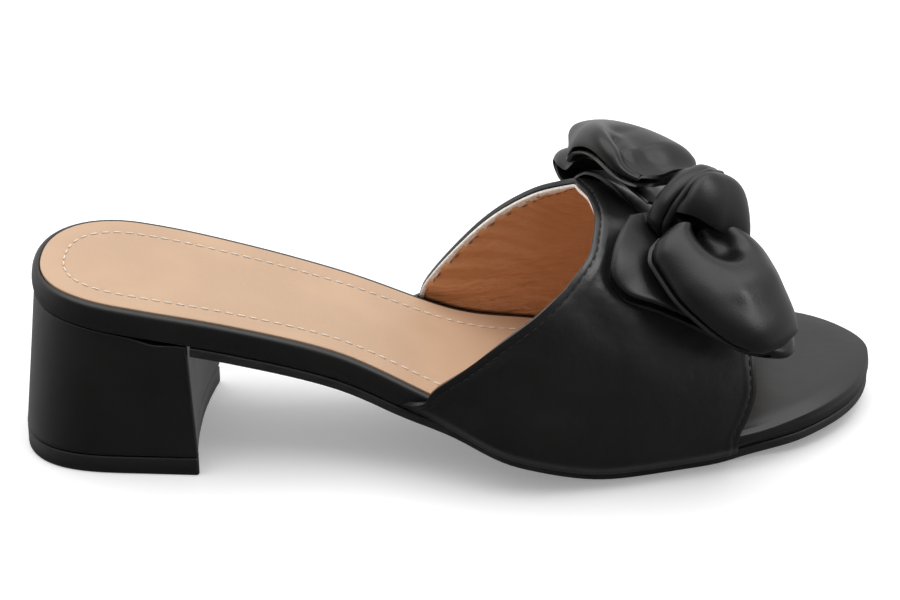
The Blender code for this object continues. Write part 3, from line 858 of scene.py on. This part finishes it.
# A loop's root and tip are seen from the knot's middle, its outline gives the half widths to its
# left and right, and its strokes are soft troughs and ridges. puff and under say how far its upper
# and lower layer stand out, over how far it is kept clear of the ribbon below, sink how deep the
# pocket beside the knot is, droop how far its left and right side hang, and spread how much wider
# its lower layer is. These lengths are shares of the bow's span. swell is the part of the puff that
# is left at the root, crest moves the puff's top to the left, and powers shape its fall to the left
# and right. slit is half the gap between the layers, hang how far the loop falls behind the upper,
# and blend how softly it comes to lie on it, in metres.
Loop = namedtuple(
    "Loop", "name node root tip puff under slit outline strokes over swell crest powers droop spread"
    " sink hang blend",
    defaults=(0.0, 0.2, 0.0, (2.6, 2.6), (0.0, 0.0), (0.0, 0.0), 0.0, 0.0, 0.0014))
LOOPS = (
    Loop("lower_near_loop", "bow_loop_lower_lateral", (-0.15, -0.02, -0.12), (0.27, -0.32, -0.32),
         puff=0.014, under=0.0, slit=0.0012, droop=(0.0, 0.010),
         outline=(Rim(0.00, 0.08, 0.02), Rim(0.05, 0.15, 0.05), Rim(0.10, 0.220, 0.07),
                  Rim(0.15, 0.260, 0.08), Rim(0.22, 0.252, 0.09), Rim(0.39, 0.195, 0.10),
                  Rim(0.61, 0.145, 0.105), Rim(0.88, 0.100, 0.09), Rim(1.00, 0.05, 0.05)),
         strokes=(Stroke((0.10, 0.15), (0.80, 0.25), 0.0034, -0.0018),)),
    Loop("lower_far_loop", "bow_loop_lower_medial", (-0.10, 0.06, -0.12), (-0.40, 0.44, -0.08),
         puff=0.010, under=0.0, slit=0.0022,
         outline=(Rim(0.00, 0.06, 0.06), Rim(0.20, 0.10, 0.085), Rim(0.50, 0.13, 0.08),
                  Rim(0.88, 0.13, 0.068), Rim(1.00, 0.10, 0.045)),
         strokes=(Stroke((0.20, 0.00), (0.70, -0.20), 0.0030, -0.0004),)),
    Loop("upper_near_loop", "bow_loop_upper_lateral", (-0.02, -0.10, -0.04), (0.215, -0.372, -0.275),
         puff=0.070, under=0.005, slit=0.0006, over=0.051, swell=0.85, spread=(0.014, 0.0), sink=0.055,
         outline=(Rim(0.00, 0.09, 0.07), Rim(0.05, 0.140, 0.085), Rim(0.14, 0.166, 0.123),
                  Rim(0.40, 0.168, 0.155), Rim(0.70, 0.140, 0.140), Rim(0.90, 0.100, 0.125),
                  Rim(1.00, 0.06, 0.110)),
         strokes=(Stroke((-0.06, -0.22), (0.16, -0.18), 0.0072, -0.0056),
                  Stroke((0.62, 0.14), (0.60, -0.60), 0.0045, 0.0010))),
    Loop("upper_far_loop", "bow_loop_upper_medial", (-0.10, 0.07, 0.008), (-0.37, 0.39, 0.012),
         puff=0.074, under=0.010, slit=0.0006, over=0.042, crest=0.10, powers=(1.4, 2.8),
         droop=(0.0, 0.065), spread=(0.0, 0.012), hang=0.010, blend=0.0045,
         outline=(Rim(0.00, 0.10, 0.09), Rim(0.12, 0.155, 0.142), Rim(0.25, 0.160, 0.148),
                  Rim(0.53, 0.150, 0.128), Rim(0.81, 0.13, 0.085), Rim(1.00, 0.09, 0.02)),
         strokes=(Stroke((0.08, -0.70), (0.36, -0.42), 0.0026, -0.0040),
                  Stroke((0.08, -0.20), (0.46, -0.06), 0.0060, -0.0034))),
)


def vamp_height(x, y):
    """Height of the upper's outer face over a point of the floor, or none beside it."""
    middle, half, base, height = last_section(x, WALL + GAP)
    inside = 1 - np.clip(np.abs((y - middle) / half), 0, 1) ** LAST_POWER
    return np.where(share_at(x) < VAMP_END_SHARE, base + height * inside ** (1 / LAST_POWER), 0)


def above_vamp(spots, rest, hang, blend):
    """Points raised where they would come nearer to the upper than rest; behind it they hang lower."""
    x, y = spots[..., 0], spots[..., 1]
    step = 0.0005
    slope_x = (vamp_height(x + step, y) - vamp_height(x - step, y)) / (2 * step)
    slope_y = (vamp_height(x, y + step) - vamp_height(x, y - step)) / (2 * step)
    steep = np.minimum(STEEPEST, np.sqrt(1 + slope_x ** 2 + slope_y ** 2))
    floor = vamp_height(x, y) + rest * steep - hang * (1 - smooth(*HANG_ENDS, share_at(x)))
    raised = np.array(spots)
    raised[..., 2] = floor + blend * np.logaddexp((spots[..., 2] - floor) / blend, 0)
    return raised


def knot_centre():
    x = x_at(KNOT_SHARE)
    y = HEEL_SIDE + KNOT_SIDE
    return np.array((x, y, float(vamp_height(x, y)) + KNOT_RISE))


def stroke_relief(strokes, reach, across, long, wide):
    """Sum of soft strokes, drawn between two places on a ribbon of that length and half width."""
    total = np.zeros(np.broadcast(reach, across).shape)
    for stroke in strokes:
        start = np.array(stroke.start) * (long, wide)
        run = np.array(stroke.end) * (long, wide) - start
        along, side = reach * long - start[0], across * wide - start[1]
        k = np.clip((along * run[0] + side * run[1]) / (run @ run), 0, 1)
        gap = np.hypot(along - k * run[0], side - k * run[1])
        total = total + stroke.depth * np.exp(-(gap / stroke.width) ** 2)
    return total


def loop_surface(loop, steps=60, across=61):
    """Inner face of a folded ribbon: out along its upper layer, round the tip and back below."""
    centre = knot_centre()
    root = centre + BOW_SPAN * np.array(loop.root)
    out = centre + BOW_SPAN * np.array(loop.tip) - root
    wide = np.cross(out, (0, 0, 1))
    wide /= np.linalg.norm(wide)
    up = np.cross(wide, out)
    up /= np.linalg.norm(up)
    turn = np.linspace(-1, 1, 2 * steps + 1)[:, None]
    v = np.sin(np.linspace(-math.pi / 2, math.pi / 2, across))[None, :]
    reach = (1 + np.cos(math.pi * turn)) / 2
    reaches = [rim.reach for rim in loop.outline]
    left = BOW_SPAN * monotone(reaches, [rim.left for rim in loop.outline], reach)
    right = BOW_SPAN * monotone(reaches, [rim.right for rim in loop.outline], reach)
    left = left + BOW_SPAN * loop.spread[0] * np.where(turn > 0, 1, 0) * (1 - reach ** 3)
    right = right + BOW_SPAN * loop.spread[1] * np.where(turn > 0, 1, 0) * (1 - reach ** 3)
    rest = REST_GAP + RIBBON_SLIT + RIBBON_WALL + BOW_SPAN * (loop.under + loop.over)
    swell = BOW_SPAN * np.where(turn < 0, loop.puff, loop.under) * (1 - reach ** TIP_POWER) ** 0.5
    swell = swell * (loop.swell + (1 - loop.swell) * smooth(0, 0.2, reach))
    slit = loop.slit * (1 - reach ** SLIT_POWER) ** 0.5
    along = reach * (1 - TIP_CURVE_SHARE * v * v)
    side = v * np.where(v > 0, left, right)
    spots = root + along[..., None] * out + side[..., None] * wide
    droop = np.where(v > 0, loop.droop[0], loop.droop[1])
    spots[..., 2] -= BOW_SPAN * droop * v * v * np.sin(math.pi * reach) ** 0.5
    pocket = np.exp(-((v - POCKET_SIDE) / POCKET_SPREAD) ** 2) * (1 - smooth(*POCKET_ENDS, reach))
    spots[..., 2] -= BOW_SPAN * loop.sink * pocket
    spots = above_vamp(spots, rest, loop.hang, loop.blend)
    long, half = np.linalg.norm(out), BOW_SPAN * max(rim.left for rim in loop.outline)
    aside = v - loop.crest * (1 - v * v)
    bulge = swell * (1 - np.abs(aside) ** np.where(aside > 0, loop.powers[0], loop.powers[1])) ** 0.5
    spots = spots + ((slit + bulge) * np.where(turn < 0, 1, -1))[..., None] * up
    folds = stroke_relief(loop.strokes, reach, v, long, half)
    deepest = np.maximum(0.9 * bulge, 0.0001)
    folds = np.where(folds < 0, -deepest * np.tanh(-folds / deepest), folds)
    normal = np.cross(np.gradient(spots, axis=1), np.gradient(spots, axis=0))
    normal /= np.maximum(np.linalg.norm(normal, axis=-1), 1e-12)[..., None]
    normal *= np.sign((normal * up).sum(axis=-1, keepdims=True)[:steps].mean())
    return spots + np.where(turn < 0, folds * (1 - v ** 12) * (1 - reach ** 12), 0)[..., None] * normal


ribbon = faux_leather("bow_ribbon", 0.31, ripple=0.00008, shine=0.37)


def ribbon_piece(name, node, surface, thickness, closed=False):
    """A sheet of ribbon thickened outwards, with its edges rounded like a turned hem."""
    if closed:
        surface = np.concatenate((surface, surface[:1]))
    bm = draped(surface)
    if closed:
        bmesh.ops.remove_doubles(bm, verts=bm.verts, dist=1e-7)
    piece = add_object(name, bm, [ribbon.material])
    thicken(piece, thickness, 1)
    round_rim(piece, thickness * HEM_ROUND_SHARE)
    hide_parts(node)


for loop in LOOPS:
    ribbon_piece(loop.name, loop.node, loop_surface(loop), RIBBON_WALL)


# Knot
# A short ribbon wrapped round the middle of the bow. It spreads into one smooth lobe over the root
# of the near loops, and its inner side is gathered into two narrow pleats beside a deep fold.
KNOT_TURN = 38
KNOT_TILT = 25
KNOT_REACH = 0.0105
KNOT_HEEL_REACH = 0.0082
KNOT_HEIGHT = 0.0108
KNOT_FAR_HEIGHT = 0.0076
KNOT_DEPTH = 0.0075
KNOT_MOUTH = 0.0025
KNOT_DROP = 0.0030
KNOT_TOE_DROP = 0.0068
KNOT_NEAR_TOE = 0.0155
KNOT_NEAR_HEEL = 0.0070
KNOT_NEAR_BELOW = 0.0030
KNOT_FAR = 0.0058
KNOT_WALL = 0.0014
KNOT_POWER = {"toe": 0.70, "heel": 0.80}
KNOT_ARCH = 2.5
KNOT_WAIST_SHARE = 0.10
KNOT_FAR_WAIST_SHARE = 0.35
KNOT_FOLD = 0.0050
FOLD_SIDES = (0.02, 0.48)
FOLD_WIDTHS = (0.12, 0.14)

Pleat = namedtuple("Pleat", "name width thick path")
Spot = namedtuple("Spot", "far toe up")
PLEATS = (
    Pleat("outer_pleat", 0.0054, 0.0026, (
        Spot(0.0010, 0.0030, 0.0086), Spot(0.0005, -0.0010, 0.0090), Spot(0.0000, -0.0062, 0.0068),
        Spot(0.0000, -0.0106, 0.0019), Spot(0.0000, -0.0127, -0.0030), Spot(0.0000, -0.0128, -0.0072),
        Spot(0.0000, -0.0101, -0.0106), Spot(0.0000, -0.0050, -0.0125))),
    Pleat("inner_pleat", 0.0026, 0.0022, (
        Spot(-0.0020, 0.0030, 0.0092), Spot(-0.0025, -0.0018, 0.0093), Spot(-0.0029, -0.0068, 0.0064),
        Spot(-0.0031, -0.0092, 0.0020), Spot(-0.0031, -0.0109, -0.0028), Spot(-0.0031, -0.0113, -0.0071),
        Spot(-0.0031, -0.0090, -0.0105), Spot(-0.0031, -0.0045, -0.0120))),
)


def knot_frame():
    """Unit vectors of the knot: along the bow to its medial side, across it to the toe, and up."""
    turn, tilt = math.radians(KNOT_TURN), math.radians(KNOT_TILT)
    along = np.array((-math.sin(turn), math.cos(turn), 0))
    across = np.array((math.cos(turn) * math.cos(tilt), math.sin(turn) * math.cos(tilt), -math.sin(tilt)))
    return along, across, np.cross(across, along)


def signed_power(value, exponent):
    return np.sign(value) * np.abs(value) ** exponent


def knot_surface(rounds=144, steps=91):
    """Inner face of the ribbon round the bow's middle. Its mouths press flat on the loops."""
    along, across, up = knot_frame()
    angle = np.linspace(0, 2 * math.pi, rounds, endpoint=False)[:, None]
    v = np.linspace(-1, 1, steps)[None, :]
    toe = (1 + np.cos(angle)) / 2
    above = smooth(-0.25, 0.45, np.sin(angle))
    far_side = smooth(-0.55, 0.0, v)
    high = KNOT_HEIGHT + (KNOT_FAR_HEIGHT - KNOT_HEIGHT) * far_side
    deep = np.where(np.sin(angle) > 0, high, KNOT_DEPTH)
    near = KNOT_NEAR_HEEL + (KNOT_NEAR_TOE - KNOT_NEAR_HEEL) * toe
    near = KNOT_NEAR_BELOW + (near - KNOT_NEAR_BELOW) * above
    waist = 1 - np.where(v > 0, KNOT_FAR_WAIST_SHARE * v * v, KNOT_WAIST_SHARE * np.abs(v) ** 3)
    tall = KNOT_MOUTH + (deep - KNOT_MOUTH) * (1 - np.abs(v) ** KNOT_ARCH) ** 0.5
    turned = smooth(0.4, 1.0, np.clip(angle / math.pi, 0, 1))
    heel_side = smooth(0.28, 0.60, angle / math.pi) * smooth(-0.6, 0.0, np.sin(angle))
    off_fold = (v + FOLD_SIDES[0] + FOLD_SIDES[1] * turned) / (FOLD_WIDTHS[0] + FOLD_WIDTHS[1] * turned)
    fold = -KNOT_FOLD * np.exp(-off_fold ** 2) * heel_side
    size = 1 + fold / KNOT_REACH
    broad = KNOT_REACH + (KNOT_HEEL_REACH - KNOT_REACH) * smooth(0, 1, -np.cos(angle)) * far_side
    power = np.where(np.cos(angle) > 0, KNOT_POWER["toe"], KNOT_POWER["heel"])
    spots = knot_centre() + (v * np.where(v > 0, KNOT_FAR, near))[..., None] * along
    spots = spots + (broad * waist * size * signed_power(np.cos(angle), power))[..., None] * across
    spots = spots + (tall * size * signed_power(np.sin(angle), power)
                     - (KNOT_DROP + KNOT_TOE_DROP * toe) * np.minimum(v, 0) ** 2)[..., None] * up
    return spots


def pleat_rings(pleat, steps=60, around=20):
    """Flat oval rings along a pleat's path, whose broad faces look away from the knot's middle."""
    along, across, up = knot_frame()
    knots = np.linspace(0, 1, len(pleat.path))
    path = np.stack([monotone(knots, [getattr(spot, axis) for spot in pleat.path], np.linspace(0, 1, steps))
                     for axis in Spot._fields], axis=1)
    path = path[:, :1] * along + path[:, 1:2] * across + path[:, 2:] * up
    way = np.gradient(path, axis=0)
    way /= np.linalg.norm(way, axis=1)[:, None]
    wide = along - (way @ along)[:, None] * way
    wide /= np.linalg.norm(wide, axis=1)[:, None]
    out = np.cross(way, wide)
    out *= np.sign((out * path).sum(axis=1).mean())
    turn = np.linspace(0, 2 * math.pi, around, endpoint=False)
    return [knot_centre() + spot + np.cos(turn)[:, None] * pleat.width / 2 * side
            + np.sin(turn)[:, None] * pleat.thick / 2 * face for spot, side, face in zip(path, wide, out)]


ribbon_piece("bow_knot_wrap", "bow_knot", knot_surface(), KNOT_WALL, closed=True)
for pleat in PLEATS:
    ring_solid("knot_" + pleat.name, pleat_rings(pleat), [ribbon.material])


# Floor and light
# A pale studio floor under one wide softbox, with a bright backdrop behind the shoe. A small side
# window in front of the toe is seen in the gloss, but throws no light on dull surfaces.
bpy.ops.mesh.primitive_plane_add(size=6)
floor = bpy.context.object
floor.name = "studio_floor"
pale = Finish("pale_floor")
floor.data.materials.append(pale.look(
    Base_Color=(0.92, 0.92, 0.92, 1),
    Roughness=0.9,
    Specular_IOR_Level=0.0,
    Emission_Color=(1, 1, 1, 1),
    Emission_Strength=0.24))
floor.visible_glossy = False

world = bpy.data.worlds.new("studio")
bpy.context.scene.world = world
world.use_nodes = True
sky = Nodes(world.node_tree)
way = sky.node("TexCoord", {}, {}, "Generated")
aside, behind, above = (sky.node("SeparateXYZ", {}, {"Vector": way}, axis) for axis in "XYZ")
backdrop = behind.ramp(-0.9, 0.4, 0.04, 0.9) * above.ramp(-0.7, 0.0, 0.12, 1.0)
glow = above.ramp(0.4, 1.0, 0.0, 0.50) + aside.ramp(0.1, 0.75, 0.0, 0.04)
sky.feed(world.node_tree.nodes["Background"].inputs["Color"], backdrop + glow)

softbox = bpy.data.lights.new("top_softbox", "AREA")
softbox.shape = "RECTANGLE"
softbox.size, softbox.size_y = 1.9, 1.4
softbox.energy = 12
top = bpy.data.objects.new("top_softbox", softbox)
top.location = (0.1, 0.1, 1.4)
bpy.context.scene.collection.objects.link(top)
window = bpy.data.lights.new("side_window", "AREA")
window.shape = "RECTANGLE"
window.size, window.size_y = 0.35, 0.5
window.energy = 2.3
side = bpy.data.objects.new("side_window", window)
side.location = (0.85, -0.25, 0.75)
side.visible_diffuse = False
side.rotation_euler = (Vector((0.2, 0.0, 0.06)) - side.location).to_track_quat("-Z", "Y").to_euler()
bpy.context.scene.collection.objects.link(side)


# Camera
# It looks at the shoe's outer side from about thirty degrees above the floor, as in the photo.
AZIMUTH, ELEVATION, ROLL = math.radians(3.15), math.radians(29.75), math.radians(-0.19)
TARGET = Vector((0.0943, 0.003, 0.042))
DISTANCE = 0.9
level = math.cos(ELEVATION)
back = Vector((math.sin(AZIMUTH) * level, -math.cos(AZIMUTH) * level, math.sin(ELEVATION)))
right = Vector((0, 0, 1)).cross(back).normalized()
up = back.cross(right)
right, up = right * math.cos(ROLL) + up * math.sin(ROLL), up * math.cos(ROLL) - right * math.sin(ROLL)
lens = bpy.data.cameras.new("photo_camera")
lens.lens = 128.84
lens.sensor_width = 36
eye = bpy.data.objects.new("photo_camera", lens)
place = Matrix((right, up, back)).transposed().to_4x4()
place.translation = TARGET + back * DISTANCE
eye.matrix_world = place
bpy.context.scene.collection.objects.link(eye)
bpy.context.scene.camera = eye
bpy.context.scene.view_settings.view_transform = "Standard"
